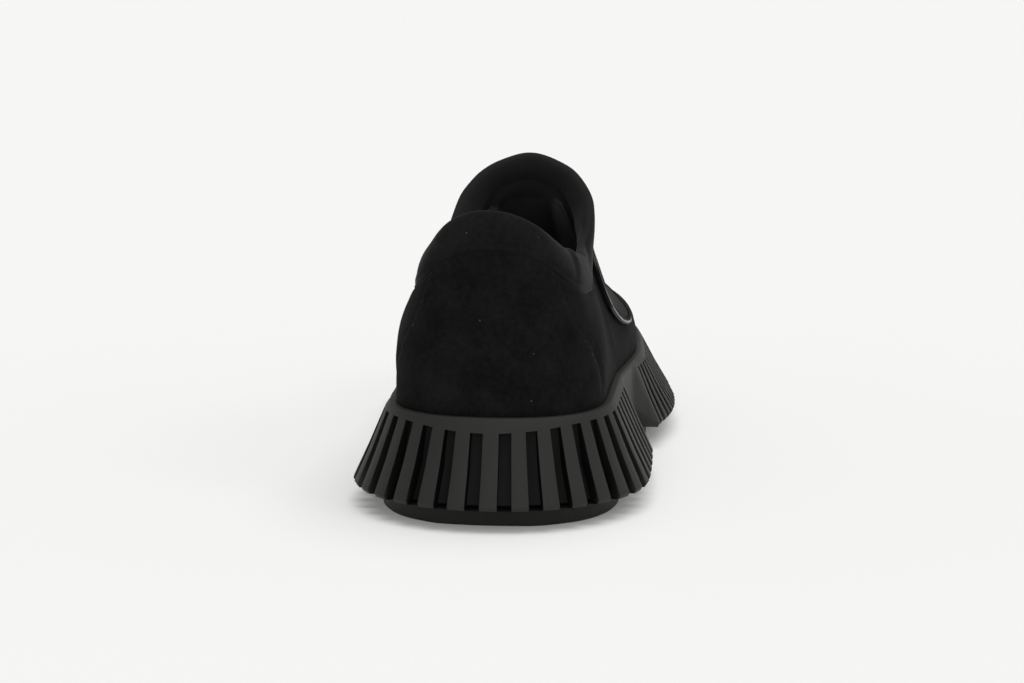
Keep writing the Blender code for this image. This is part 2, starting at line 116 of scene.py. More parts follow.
def store(piece, name, values):
    """Keeps a number for each vertex of a piece as an attribute that its material reads."""
    attribute = piece.data.attributes.new(name, "FLOAT", "POINT")
    attribute.data.foreach_set("value", np.array(values, np.float32))


def mark_recesses(piece):
    """Stores how much of each vertex's outlook the piece itself shuts off close by; the material paints shade
    from it.
    """
    mesh = piece.data
    tree = BVHTree.FromPolygons([v.co for v in mesh.vertices], [p.vertices for p in mesh.polygons])
    values = []
    for vertex in mesh.vertices:
        side = vertex.normal.orthogonal().normalized()
        other = vertex.normal.cross(side)
        start = vertex.co + vertex.normal * RECESS_LIFT * MM
        shut = 0
        for look in range(RECESS_LOOKS):
            angle = 2.0 * math.pi * look / RECESS_LOOKS
            way = vertex.normal + side * math.cos(angle) + other * math.sin(angle)
            if tree.ray_cast(start, way, RECESS_REACH * MM)[0] is not None:
                shut += 1
        values.append(shut / RECESS_LOOKS)
    store(piece, "painted_shade", values)


def linear(code):
    """An sRGB hex colour as the linear colour that a shader takes."""
    shares = [int(code[i:i + 2], 16) / 255.0 for i in (1, 3, 5)]
    return [s / 12.92 if s <= 0.04045 else ((s + 0.055) / 1.055) ** 2.4 for s in shares] + [1.0]


def add_node(tree, kind, inputs=None, links=None, **settings):
    """A shader node with its settings, its inputs' values and the outputs that feed it."""
    node = tree.nodes.new(kind)
    for name, value in settings.items():
        setattr(node, name, value)
    for name, value in (inputs or {}).items():
        node.inputs[name].default_value = value
    for name, output in (links or {}).items():
        tree.links.new(output, node.inputs[name])
    return node


def new_material(name, **inputs):
    """A material, with values for its shader, and its node tree, shader and object coordinates."""
    material = bpy.data.materials.new(name)
    material.use_nodes = True
    tree = material.node_tree
    shader = tree.nodes["Principled BSDF"]
    for key, value in inputs.items():
        shader.inputs[key.replace("_", " ")].default_value = value
    place = add_node(tree, "ShaderNodeTexCoord").outputs["Object"]
    return material, tree, shader, place


def dress(piece, material):
    """Gives a piece its material and its body."""
    piece.data.materials.append(material)
    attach(piece, "root")


def rubber_material(name, face, wiped):
    """Matt moulded rubber: fine even grit from the mould, faces wiped greyer by handling, and painted shade
    that darkens it where it is closed in.
    """
    material, tree, shader, place = new_material(name, Roughness=0.58, Specular_IOR_Level=0.16)
    smudge = add_node(tree, "ShaderNodeTexNoise", {"Scale": 1.0 / (RUBBER_SMUDGE * MM), "Detail": 4.0},
                      {"Vector": place})
    outer = add_node(tree, "ShaderNodeMix", {6: linear(wiped), 7: linear(face)},
                     {0: smudge.outputs["Fac"]}, data_type="RGBA")
    # Painted shade: the colour goes nearly black where the rubber is closed in, where shade falls.
    painted_shade = add_node(tree, "ShaderNodeAttribute", attribute_name="painted_shade")
    depth = add_node(tree, "ShaderNodeMapRange", {"From Min": 0.12, "From Max": 0.36},
                     {"Value": painted_shade.outputs["Fac"]}, interpolation_type="SMOOTHSTEP")
    colour = add_node(tree, "ShaderNodeMix", {7: linear(RUBBER_PAINTED_SHADE)},
                      {0: depth.outputs["Result"], 6: outer.outputs[2]}, data_type="RGBA")
    # The mould's grit is finer than this: it is drawn coarser so that it shows.
    grit = add_node(tree, "ShaderNodeTexNoise", {"Scale": 1.0 / (RUBBER_GRIT * MM), "Detail": 2.0},
                    {"Vector": place})
    bump = add_node(tree, "ShaderNodeBump", {"Strength": 0.22, "Distance": RUBBER_GRIT_HEIGHT * MM},
                    {"Height": grit.outputs["Fac"]})
    tree.links.new(colour.outputs[2], shader.inputs["Base Color"])
    tree.links.new(bump.outputs["Normal"], shader.inputs["Normal"])
    return material


sole = copy_of("sole_unit", "sole")
apply_modifier(sole, "BEVEL", width=RIB_EDGE * MM, segments=RIB_EDGE_STEPS, limit_method="ANGLE",
               angle_limit=math.radians(RIB_EDGE_ANGLE))
bpy.ops.object.shade_smooth_by_angle(angle=math.radians(RIB_SMOOTH_ANGLE))
mark_recesses(sole)
dress(sole, rubber_material("moulded_rubber_matt", RUBBER_FACE, RUBBER_WIPED))
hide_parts("sole_unit")

# Tread pads
# Two pads of harder black rubber under the blocks, set in from the flare and cemented on. Each has an even
# side and shallow moulded grooves across its underside, short of the edge, and carries the shoe.
PAD_LEVELS = 2
PAD_CREASE_ANGLE = 32.0
PAD_SMOOTH_ANGLE = 30.0
CAGE_ROUNDS = 3
TREAD_PITCH = 6.5
TREAD_WIDTH = 2.2
TREAD_DEPTH = 0.8
TREAD_BORDER = 6.0
TREAD_TOP = 13.0
TREAD_FACING = 0.7
PAD_FACE = "#282826"
PAD_WIPED = "#21211f"


def read(items, name, width):
    """A property of all vertices or faces of a mesh as an array, one row for each."""
    values = np.empty(len(items) * width, np.float32)
    items.foreach_get(name, values)
    return values.reshape(-1, width)


def faces_by_edge(mesh):
    """The faces on each edge of a mesh, by the edge's key."""
    faces = {}
    for polygon in mesh.polygons:
        for key in polygon.edge_keys:
            faces.setdefault(key, []).append(polygon)
    return faces


def bent(faces, degrees):
    """Whether the two faces on an edge meet at more than an angle."""
    return len(faces) == 2 and faces[0].normal.angle(faces[1].normal) > math.radians(degrees)


def round_out(piece, levels, degrees, rounds=CAGE_ROUNDS):
    """Subdivides a piece, its sharp edges kept and its cage moved so that it meets the CAD's points."""
    mesh = piece.data
    faces = faces_by_edge(mesh)
    sharp = [float(bent(faces[edge.key], degrees)) for edge in mesh.edges]
    mesh.attributes.new("crease_edge", "FLOAT", "EDGE").data.foreach_set("value", sharp)
    wanted = read(mesh.vertices, "co", 3)
    cage = wanted.copy()
    select_only(piece)
    modifier = piece.modifiers.new("SUBSURF", "SUBSURF")
    modifier.levels = modifier.render_levels = levels
    for _ in range(rounds):
        smooth = piece.evaluated_get(bpy.context.evaluated_depsgraph_get()).data
        cage += wanted - read(smooth.vertices, "co", 3)[:len(wanted)]
        mesh.vertices.foreach_set("co", cage.ravel())
        mesh.update()
    bpy.ops.object.modifier_apply(modifier=modifier.name)


def select_faces(piece, chosen):
    """Selects some faces of a piece and no others, and goes into edit mode."""
    select_only(piece)
    bpy.ops.object.mode_set(mode="EDIT")
    bpy.ops.mesh.select_mode(type="FACE")
    bpy.ops.mesh.select_all(action="DESELECT")
    bpy.ops.object.mode_set(mode="OBJECT")
    piece.data.polygons.foreach_set("select", chosen)
    bpy.ops.object.mode_set(mode="EDIT")


def cut_tread(pad):
    """Cuts the grooves of the tread across a pad's underside, up the toe as far as TREAD_TOP."""
    mesh = pad.data
    half = TREAD_WIDTH * MM / 2

    def underside(middle=0.0, reach=1.0):
        """The faces' centres, and which faces look down within reach of a line across the shoe."""
        centres = read(mesh.polygons, "center", 3)
        down = read(mesh.polygons, "normal", 3)[:, 2] < -TREAD_FACING
        return centres, down & (np.abs(centres[:, 1] - middle) < reach)

    def split(chosen, place, way):
        """Cuts the chosen faces by a plane."""
        select_faces(pad, chosen)
        bpy.ops.mesh.bisect(plane_co=place, plane_no=way)
        bpy.ops.object.mode_set(mode="OBJECT")

    centres, down = underside()
    low = centres[down & (centres[:, 2] < TREAD_TOP * MM), 1]
    start, end = low.min() + TREAD_BORDER * MM, low.max() - TREAD_BORDER * MM
    grooves = []
    for middle in np.arange(start + half, end - half, TREAD_PITCH * MM):
        for wall in (middle - half, middle + half):
            split(underside()[1], (0.0, wall, 0.0), (0.0, 1.0, 0.0))
        strip = np.flatnonzero(underside(middle, half)[1])
        widths = [mesh.vertices[v].co.x for i in strip for v in mesh.polygons[i].vertices]
        left, right = min(widths) + TREAD_BORDER * MM, max(widths) - TREAD_BORDER * MM
        for end_wall in (left, right):
            split(underside(middle, half)[1], (end_wall, 0.0, 0.0), (1.0, 0.0, 0.0))
        grooves.append((middle, left, right))
    chosen = np.zeros(len(mesh.polygons), bool)
    for middle, left, right in grooves:
        centres, strip = underside(middle, half)
        chosen |= strip & (centres[:, 0] > left) & (centres[:, 0] < right)
    select_faces(pad, chosen)
    bpy.ops.mesh.extrude_region_move(TRANSFORM_OT_translate={"value": (0.0, 0.0, TREAD_DEPTH * MM)})
    bpy.ops.object.mode_set(mode="OBJECT")


tread_rubber = rubber_material("tread_rubber_matt", PAD_FACE, PAD_WIPED)
for node, name in (("outsole_heel", "heel_pad"), ("outsole_forefoot", "forefoot_pad")):
    pad = copy_of(node, name)
    round_out(pad, PAD_LEVELS, PAD_CREASE_ANGLE)
    cut_tread(pad)
    bpy.ops.object.shade_smooth_by_angle(angle=math.radians(PAD_SMOOTH_ANGLE))
    mark_recesses(pad)
    dress(pad, tread_rubber)
    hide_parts(node)

# Insole
# A footbed board covered with thin black leather, glued to the sole's platform inside the upper. The leather
# is nearly matt, with a fine pebbled grain, and rubbed a little greyer in patches.
INSOLE_COLOUR = "#161615"
INSOLE_RUBBED = "#1d1d1c"
INSOLE_PATCH = 18.0
INSOLE_GRAIN = 1.1
INSOLE_GRAIN_HEIGHT = 0.12

insole = copy_of("insole", "footbed")
round_out(insole, PAD_LEVELS, PAD_CREASE_ANGLE)
bpy.ops.object.shade_smooth_by_angle(angle=math.radians(PAD_SMOOTH_ANGLE))
insole_leather, tree, shader, place = new_material("insole_leather", Roughness=0.62, Specular_IOR_Level=0.3)
rub = add_node(tree, "ShaderNodeTexNoise", {"Scale": 1.0 / (INSOLE_PATCH * MM), "Detail": 3.0},
               {"Vector": place})
colour = add_node(tree, "ShaderNodeMix", {6: linear(INSOLE_COLOUR), 7: linear(INSOLE_RUBBED)},
                  {0: rub.outputs["Fac"]}, data_type="RGBA")
grain = add_node(tree, "ShaderNodeTexVoronoi", {"Scale": 1.0 / (INSOLE_GRAIN * MM)}, {"Vector": place})
bump = add_node(tree, "ShaderNodeBump", {"Strength": 0.25, "Distance": INSOLE_GRAIN_HEIGHT * MM},
                {"Height": grain.outputs["Distance"]})
tree.links.new(colour.outputs[2], shader.inputs["Base Color"])
tree.links.new(bump.outputs["Normal"], shader.inputs["Normal"])
dress(insole, insole_leather)
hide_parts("insole")

# Upper
# A shell of black suede, vamp and quarters in one, lined with thin black leather and pulled over the last.
# A counter is sewn over the quarters behind a curved seam on each side, and the collar to the top edge.
SHOE_MIDDLE = 3.5
INSIDE_AXIS = 45.0
INSIDE_BACK = -88.0
INSIDE_FRONT = 78.0
LINE_STEP = 0.3
LINE_BATCH = 2000
RIDGE_ENDS = 0.18
UPPER_LEVELS = 2
RIM_ANGLE = 50.0
RIM_ABOVE = 60.0
EDGE_REACH = 3.0
EDGE_CUTS = 1
EDGE_DIP = 0.6
EDGE_DIP_WIDTH = 1.0
COUNTER_SEAM = (
    (24.9, -115.5, 77.4),
    (27.2, -115.6, 70.8),
    (30.4, -113.8, 63.8),
    (35.5, -106.8, 53.8),
    (37.9, -99.3, 44.6),
    (38.4, -91.5, 36.5),
    (38.5, -89.5, 33.0),
)
SEAM_REACH = 5.0
SEAM_CUTS = 3
SEAM_DEPTH = 0.15
SEAM_WIDTH = 1.0
COUNTER_RISE = 0.2
COUNTER_FADE = 6.0
HEEL_FOLD = ((35.6, -107.5, 57.0), (37.0, -103.0, 50.0), (37.8, -99.0, 43.0), (38.0, -97.0, 38.0))
HEEL_FOLD_DEPTH = 0.7
HEEL_FOLD_WIDTH = 2.2
FLEX_CREASES = (
    ((-30.0, 18.0, 55.0), (-12.0, 26.0, 66.0), (4.0, 27.0, 68.0), (20.0, 24.0, 62.0), (32.0, 16.0, 52.0)),
    ((-34.0, 32.0, 50.0), (-14.0, 42.0, 62.0), (2.0, 43.0, 63.0), (19.0, 40.0, 58.0), (33.0, 30.0, 48.0)),
)
FLEX_DEPTH = 0.45
FLEX_WIDTH = 3.0
# Size and height of the slow waves and of the small ones in the pulled suede.
UPPER_WAVES = ((26.0, 0.35), (9.0, 0.12))
# Height and width of each fold of the slack lining, and the places that it runs through.
LINING_FOLDS = (
    (2.6, 3.4, (
        (14.4, -18.9, 98.9),
        (15.6, -15.4, 93.1),
        (16.7, -11.2, 85.3),
        (18.0, -8.5, 79.5),
        (20.0, -6.0, 70.0),
    )),
    (2.4, 3.4, ((17.4, -20.3, 98.0), (19.6, -23.2, 91.7), (21.8, -29.8, 84.3), (24.5, -42.2, 79.6))),
    (2.0, 2.6, ((-5.7, -21.7, 99.0), (-6.2, -17.8, 95.7), (-6.6, -17.4, 93.1), (-8.0, -12.0, 82.0))),
)
FOLD_FADE = 6.0
SUEDE_DARK = "#0e0e0e"
SUEDE_LIGHT = "#191919"
# Colour of the painted light on the front of the collar band.
SUEDE_PAINTED_LIGHT = "#2a2a2a"
SUEDE_SHEEN = 0.015
SUEDE_PATCH = 12.0
SUEDE_MOTTLE = 1.8
SUEDE_MOTTLE_SHARE = 0.45
SUEDE_FIBRE = 0.7
SUEDE_FIBRE_HEIGHT = 0.25
LINT = "#484847"
LINT_APART = 5.5
LINT_RADIUS = 0.231
LINT_SHARE = 0.32
LINING_COLOUR = "#2a2a2a"
# Colour of the painted light on the lining's sides near the top edge.
LINING_PAINTED_LIGHT = "#3f3f3e"
LINING_PATCH = 15.0
LINING_LIGHT_REACH = 22.0
LINING_LIGHT_FACING = 0.45
LINING_LIGHT_BLEND = 0.3


def curve_through(points, closed=False):
    """Points a short step apart on a smooth curve through some places, in metres."""
    knots = np.array(points, float) * MM
    count = len(knots)
    line = []
    for i in range(count if closed else count - 1):
        around = range(i - 1, i + 3)
        if closed:
            before, start, end, after = (knots[k % count] for k in around)
        else:
            before, start, end, after = (knots[min(max(k, 0), count - 1)] for k in around)
        steps = max(int(np.linalg.norm(end - start) / (LINE_STEP * MM)), 1)
        for k in range(steps):
            t = k / steps
            line.append(0.5 * (2 * start + (end - before) * t
                               + (2 * before - 5 * start + 4 * end - after) * t ** 2
                               + (3 * start - before - 3 * end + after) * t ** 3))
    if not closed:
        line.append(knots[-1])
    return np.array(line)


def nearest(line, points):
    """Distance from each point to a line, and the index of the line's nearest place."""
    gaps = np.empty(len(points))
    places = np.empty(len(points), int)
    for first in range(0, len(points), LINE_BATCH):
        batch = slice(first, first + LINE_BATCH)
        apart = np.linalg.norm(points[batch, None, :] - line[None, :, :], axis=2)
        places[batch] = apart.argmin(axis=1)
        gaps[batch] = apart.min(axis=1)
    return gaps, places


def bell(gaps, width):
    """A soft swell across a line: one on it, and almost nothing two widths away."""
    return np.exp(-(gaps / (width * MM)) ** 2)


def ridge(line, points, height, width):
    """How far each point rises for a soft ridge along a line, fading at its ends. Troughs are negative."""
    gaps, places = nearest(line, points)
    along = places / (len(line) - 1)
    ends = np.clip(np.minimum(along, 1.0 - along) / RIDGE_ENDS, 0.0, 1.0)
    return height * MM * bell(gaps, width) * ends * ends * (3.0 - 2.0 * ends)


def unevenness(points, waves):
    """An irregular rise and fall over a surface, from waves of some sizes and heights."""
    rise = np.zeros(len(points))
    for size, height in waves:
        scale = 1.0 / (size * MM)
        rise += height * MM * np.array([noise.noise(Vector(point) * scale) for point in points])
    return rise


def outward(centres, normals):
    """Whether faces look away from a line through the middle of the shoe's inside."""
    axis = np.empty_like(centres)
    axis[:, 0] = SHOE_MIDDLE * MM
    axis[:, 1] = np.clip(centres[:, 1], INSIDE_BACK * MM, INSIDE_FRONT * MM)
    axis[:, 2] = INSIDE_AXIS * MM
    return np.einsum("ij,ij->i", centres - axis, normals) > 0.0


def faces_outward(mesh):
    """Whether each face of a mesh is on the outside of the shoe."""
    return outward(read(mesh.polygons, "center", 3), read(mesh.polygons, "normal", 3))


def mirrored(points):
    """Places on the outer side of the shoe, moved to the inner side."""
    return [(2 * SHOE_MIDDLE - x, y, z) for x, y, z in points]


def sharp_loop(mesh, wanted):
    """A curve along the closed loop of sharp edges that a test on their vertices and faces picks."""
    neighbours = {}
    for (a, b), faces in faces_by_edge(mesh).items():
        if bent(faces, RIM_ANGLE) and wanted(a, b, faces):
            neighbours.setdefault(a, []).append(b)
            neighbours.setdefault(b, []).append(a)
    start = min(neighbours)
    loop = [start]
    last, here = None, start
    while True:
        ahead = [v for v in neighbours[here] if v != last]
        last, here = here, ahead[0]
        if here == start:
            return curve_through([mesh.vertices[i].co / MM for i in loop], closed=True)
        loop.append(here)


def refine(piece, line, reach, cuts):
    """Cuts the outer faces near a line into smaller ones, so that a seam can be pressed into them."""
    near = nearest(line, read(piece.data.polygons, "center", 3))[0] < reach * MM
    select_faces(piece, near & faces_outward(piece.data))
    bpy.ops.mesh.subdivide(number_cuts=cuts)
    bpy.ops.object.mode_set(mode="OBJECT")


def reshape(piece, points):
    """Moves the vertices of a piece to new places and shades it smooth."""
    piece.data.vertices.foreach_set("co", points.astype(np.float32).ravel())
    piece.data.update()
    select_only(piece)
    bpy.ops.object.shade_smooth()


def suede_material(name, dark, light, sheen):
    """Black suede: short nap that lies in lighter and darker patches, fine fibres, a few lint specks, and
    painted light where a piece stores a share for it.
    """
    material, tree, shader, place = new_material(
        name, Roughness=0.95, Specular_IOR_Level=0.05, Sheen_Weight=sheen, Sheen_Roughness=0.4)
    patch = add_node(tree, "ShaderNodeTexNoise", {"Scale": 1.0 / (SUEDE_PATCH * MM), "Detail": 3.0},
                     {"Vector": place})
    mottle = add_node(tree, "ShaderNodeTexNoise",
                      {"Scale": 1.0 / (SUEDE_MOTTLE * MM), "Detail": 3.0, "Roughness": 0.6},
                      {"Vector": place})
    both = add_node(tree, "ShaderNodeMix", {0: SUEDE_MOTTLE_SHARE},
                    {2: patch.outputs["Fac"], 3: mottle.outputs["Fac"]})
    lie = add_node(tree, "ShaderNodeMapRange", {"From Min": 0.36, "From Max": 0.64},
                   {"Value": both.outputs[0]})
    nap = add_node(tree, "ShaderNodeMix", {6: linear(dark), 7: linear(light)},
                   {0: lie.outputs["Result"]}, data_type="RGBA")
    # Painted light: where a piece stores a share for it, the nap is painted lighter.
    painted_light = add_node(tree, "ShaderNodeAttribute", attribute_name="painted_light")
    nap = add_node(tree, "ShaderNodeMix", {7: linear(SUEDE_PAINTED_LIGHT)},
                   {0: painted_light.outputs["Fac"], 6: nap.outputs[2]}, data_type="RGBA")
    speck = add_node(tree, "ShaderNodeTexVoronoi", {"Scale": 1.0 / (LINT_APART * MM)}, {"Vector": place})
    small = add_node(tree, "ShaderNodeMath", {1: LINT_RADIUS / LINT_APART},
                     {0: speck.outputs["Distance"]}, operation="LESS_THAN")
    pick = add_node(tree, "ShaderNodeSeparateColor", links={"Color": speck.outputs["Color"]})
    some = add_node(tree, "ShaderNodeMath", {1: LINT_SHARE}, {0: pick.outputs["Red"]},
                    operation="LESS_THAN")
    lint = add_node(tree, "ShaderNodeMath", links={0: small.outputs[0], 1: some.outputs[0]},
                    operation="MULTIPLY")
    colour = add_node(tree, "ShaderNodeMix", {7: linear(LINT)},
                      {0: lint.outputs[0], 6: nap.outputs[2]}, data_type="RGBA")
    # Real fibres are far thinner than this: they are drawn coarser so that they show.
    fibre = add_node(tree, "ShaderNodeTexNoise",
                     {"Scale": 1.0 / (SUEDE_FIBRE * MM), "Detail": 4.0, "Roughness": 0.7},
                     {"Vector": place})
    bump = add_node(tree, "ShaderNodeBump", {"Strength": 0.55, "Distance": SUEDE_FIBRE_HEIGHT * MM},
                    {"Height": fibre.outputs["Fac"]})
    tree.links.new(colour.outputs[2], shader.inputs["Base Color"])
    tree.links.new(bump.outputs["Normal"], shader.inputs["Normal"])
    return material


upper = copy_of("upper", "upper_suede")
upper_mesh = upper.data
outside = faces_outward(upper_mesh)
upper_mesh.polygons.foreach_set("material_index", np.where(outside, 0, 1).astype(np.int32))


def at_rim(a, b, faces):
    """Whether an edge is on the sewn top edge, where the shell's outer face meets its rim."""
    return all(outside[face.index] for face in faces) and upper_mesh.vertices[a].co.z > RIM_ABOVE * MM


top_edge = sharp_loop(upper_mesh, at_rim)
round_out(upper, UPPER_LEVELS, RIM_ANGLE)
smooth_skin = BVHTree.FromObject(upper, bpy.context.evaluated_depsgraph_get())
counter_seams = []
for seam in (COUNTER_SEAM, mirrored(COUNTER_SEAM)):
    counter_seams.append(np.array([smooth_skin.find_nearest(Vector(p))[0] for p in curve_through(seam)]))
for seam in counter_seams:
    refine(upper, seam, SEAM_REACH, SEAM_CUTS)
refine(upper, top_edge, EDGE_REACH, EDGE_CUTS)

points = read(upper_mesh.vertices, "co", 3)
normals = read(upper_mesh.vertex_normals, "vector", 3)
from_edge, edge_places = nearest(top_edge, points)
rise = unevenness(points, UPPER_WAVES)
for seam in counter_seams:
    gaps, places = nearest(seam, points)
    behind = points[:, 1] < seam[places, 1]
    rise += np.where(behind, COUNTER_RISE, 0.0) * MM * bell(gaps, COUNTER_FADE)
    rise -= SEAM_DEPTH * MM * bell(gaps, SEAM_WIDTH)
for fold in (HEEL_FOLD, mirrored(HEEL_FOLD)):
    rise += ridge(curve_through(fold), points, -HEEL_FOLD_DEPTH, HEEL_FOLD_WIDTH)
for crease in FLEX_CREASES:
    rise += ridge(curve_through(crease), points, -FLEX_DEPTH, FLEX_WIDTH)
rise -= EDGE_DIP * MM * bell(from_edge, EDGE_DIP_WIDTH)
lining_rise = np.zeros(len(points))
for height, width, fold in LINING_FOLDS:
    lining_rise += ridge(curve_through(fold), points, height, width)
lining_rise *= np.clip((top_edge[edge_places, 2] - points[:, 2]) / (FOLD_FADE * MM), 0.0, 1.0)
points += normals * np.where(outward(points, normals), rise, lining_rise)[:, None]
reshape(upper, points)
dress(upper, suede_material("suede_black", SUEDE_DARK, SUEDE_LIGHT, SUEDE_SHEEN))

# The lining's leather is thin and soft, without nap. Painted light: its sides are painted lighter near the
# top edge, where they lie in the collar's shade.
painted_lining_light = np.clip(1.0 - from_edge / (LINING_LIGHT_REACH * MM), 0.0, 1.0)
painted_lining_light *= np.clip((np.abs(normals[:, 0]) - LINING_LIGHT_FACING) / LINING_LIGHT_BLEND, 0.0, 1.0)
store(upper, "painted_lining_light", painted_lining_light)
lining, tree, shader, place = new_material("lining_leather", Roughness=0.7, Specular_IOR_Level=0.25)
wear = add_node(tree, "ShaderNodeTexNoise", {"Scale": 1.0 / (LINING_PATCH * MM), "Detail": 3.0},
                {"Vector": place})
colour = add_node(tree, "ShaderNodeMix", {6: linear(LINING_COLOUR), 7: linear(SUEDE_DARK)},
                  {0: wear.outputs["Fac"]}, data_type="RGBA")
lining_light = add_node(tree, "ShaderNodeAttribute", attribute_name="painted_lining_light")
colour = add_node(tree, "ShaderNodeMix", {7: linear(LINING_PAINTED_LIGHT)},
                  {0: lining_light.outputs["Fac"], 6: colour.outputs[2]}, data_type="RGBA")
tree.links.new(colour.outputs[2], shader.inputs["Base Color"])
upper_mesh.materials.append(lining)
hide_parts("upper")

# Collar
# A band of the same suede turned over soft foam, sewn to the upper's top edge all round the foot opening
# and felled down on the inside. It is fullest along its middle and pulls in at the stitches.
COLLAR_LEVELS = 3
COLLAR_CREASE_ANGLE = 75.0
COLLAR_CAGE_ROUNDS = 1
COLLAR_WAVES = ((14.0, 0.15), (5.0, 0.06))
SEWN_GAP = 2.2
SEWN_ROW = 1.2
SEWN_DROP = 1.0
SEWN_DEEP = 0.5
LAP_HEIGHT = 0.3
LAP_WIDTH = 1.2
FELL_DROP = 9.0
FELL_HEIGHT = 1.5
FELL_TROUGH = 0.8
FELL_WIDTH = 2.2
# Along this line the padding swells out on the outer side of the foot, and lies slack on the inner side.
PUFF = ((28.0, -105.1, 84.6), (29.6, -93.5, 82.0), (30.6, -82.0, 80.0))
PUFF_RISE = 1.1
PUFF_SLACK = 1.0
PUFF_WIDTH = 7.0
TONGUE_EDGE = (
    (22.6, -29.5, 93.8),
    (24.3, -33.7, 90.3),
    (26.6, -42.6, 86.5),
    (28.6, -50.4, 84.0),
    (30.2, -55.7, 81.0),
    (31.0, -60.0, 78.6),
    (32.0, -70.6, 77.3),
    (32.6, -78.1, 75.7),
)
TONGUE_EDGE_DEPTH = 0.9
TONGUE_EDGE_WIDTH = 2.2
COLLAR_DARK = "#121212"
COLLAR_LIGHT = "#1c1c1c"
COLLAR_SHEEN = 0.07
PAINTED_LIGHT_SHARE = 0.6
PAINTED_LIGHT_FACING = 0.7
PAINTED_LIGHT_FROM = -75.0
PAINTED_LIGHT_FADE = 25.0
STITCH_ROW = 0.7
STITCH_DIP = 0.2
STITCH_DIP_WIDTH = 0.9

collar = copy_of("collar", "collar_band")
collar_mesh = collar.data
from_edge, _ = nearest(top_edge, read(collar_mesh.vertices, "co", 3))
for vertex, apart in zip(collar_mesh.vertices, from_edge):
    if smooth_skin.find_nearest(vertex.co)[3] < SEWN_GAP * MM:
        drop = SEWN_DROP if apart < SEWN_ROW * MM else FELL_DROP
        place, normal, _, _ = smooth_skin.find_nearest(vertex.co - Vector((0.0, 0.0, drop * MM)))
        vertex.co = place - normal * SEWN_DEEP * MM
round_out(collar, COLLAR_LEVELS, COLLAR_CREASE_ANGLE, COLLAR_CAGE_ROUNDS)

points = read(collar_mesh.vertices, "co", 3)
normals = read(collar_mesh.vertex_normals, "vector", 3)
outer = outward(points, normals)
from_edge, edge_places = nearest(top_edge, points)
above_seam = points[:, 2] - top_edge[edge_places, 2]
padding = LAP_HEIGHT * MM * bell(from_edge, LAP_WIDTH)
padding -= STITCH_DIP * MM * bell(from_edge - STITCH_ROW * MM, STITCH_DIP_WIDTH)
for puff, height in ((PUFF, PUFF_RISE), (mirrored(PUFF), -PUFF_SLACK)):
    padding += ridge(curve_through(puff), points, height, PUFF_WIDTH)
for edge in (TONGUE_EDGE, mirrored(TONGUE_EDGE)):
    padding += ridge(curve_through(edge), points, -TONGUE_EDGE_DEPTH, TONGUE_EDGE_WIDTH)
felled = -FELL_TROUGH * MM * bell(above_seam - FELL_HEIGHT * MM, FELL_WIDTH)
fade = np.clip(-above_seam / (FOLD_FADE * MM), 0.0, 1.0)
for height, width, fold in LINING_FOLDS:
    felled += ridge(curve_through(fold), points, height, width) * fade
rise = unevenness(points, COLLAR_WAVES) + np.where(outer, padding, felled)
points += normals * rise[:, None]
reshape(collar, points)
dress(collar, suede_material("suede_black_collar", COLLAR_DARK, COLLAR_LIGHT, COLLAR_SHEEN))

# Painted light: the front of the band is painted lighter where it faces back into the opening and gets little
# light.
inward = np.array((SHOE_MIDDLE, PAINTED_LIGHT_FROM)) * MM - points[:, :2]
inward /= np.linalg.norm(inward, axis=1)[:, None]
facing = np.clip(0.5 + np.einsum("ij,ij->i", inward, normals[:, :2]) / PAINTED_LIGHT_FACING, 0.0, 1.0)
ahead = np.clip((points[:, 1] - PAINTED_LIGHT_FROM * MM) / (PAINTED_LIGHT_FADE * MM), 0.0, 1.0)
store(collar, "painted_light", PAINTED_LIGHT_SHARE * facing * ahead)

# The band's felled inner edge is covered by the lining.
collar_mesh.materials.append(lining)
centres = read(collar_mesh.polygons, "center", 3)
below = centres[:, 2] - top_edge[nearest(top_edge, centres)[1], 2] < FELL_HEIGHT * MM
covered = below & ~faces_outward(collar_mesh)
collar_mesh.polygons.foreach_set("material_index", covered.astype(np.int32))
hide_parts("collar")

# Stitches
# Rows of lock stitches in black thread, one along the collar's lower edge and one behind each counter seam.
# Each is a short length of thread that sinks into the suede at both ends.
STITCH_PITCH = 3.2
STITCH_LENGTH = 1.5
STITCH_THICK = 0.3
STITCH_SAG = 0.2
STITCH_LIFT = 0.05
STITCH_SIDES = 8
STITCH_RINGS = 6
STITCH_LOOK = 3
COUNTER_ROW = 1.9
COUNTER_SEWN = slice(4, -10)
THREAD_LIGHTER = "#3a3a38"
THREAD_PATCH = 6.0


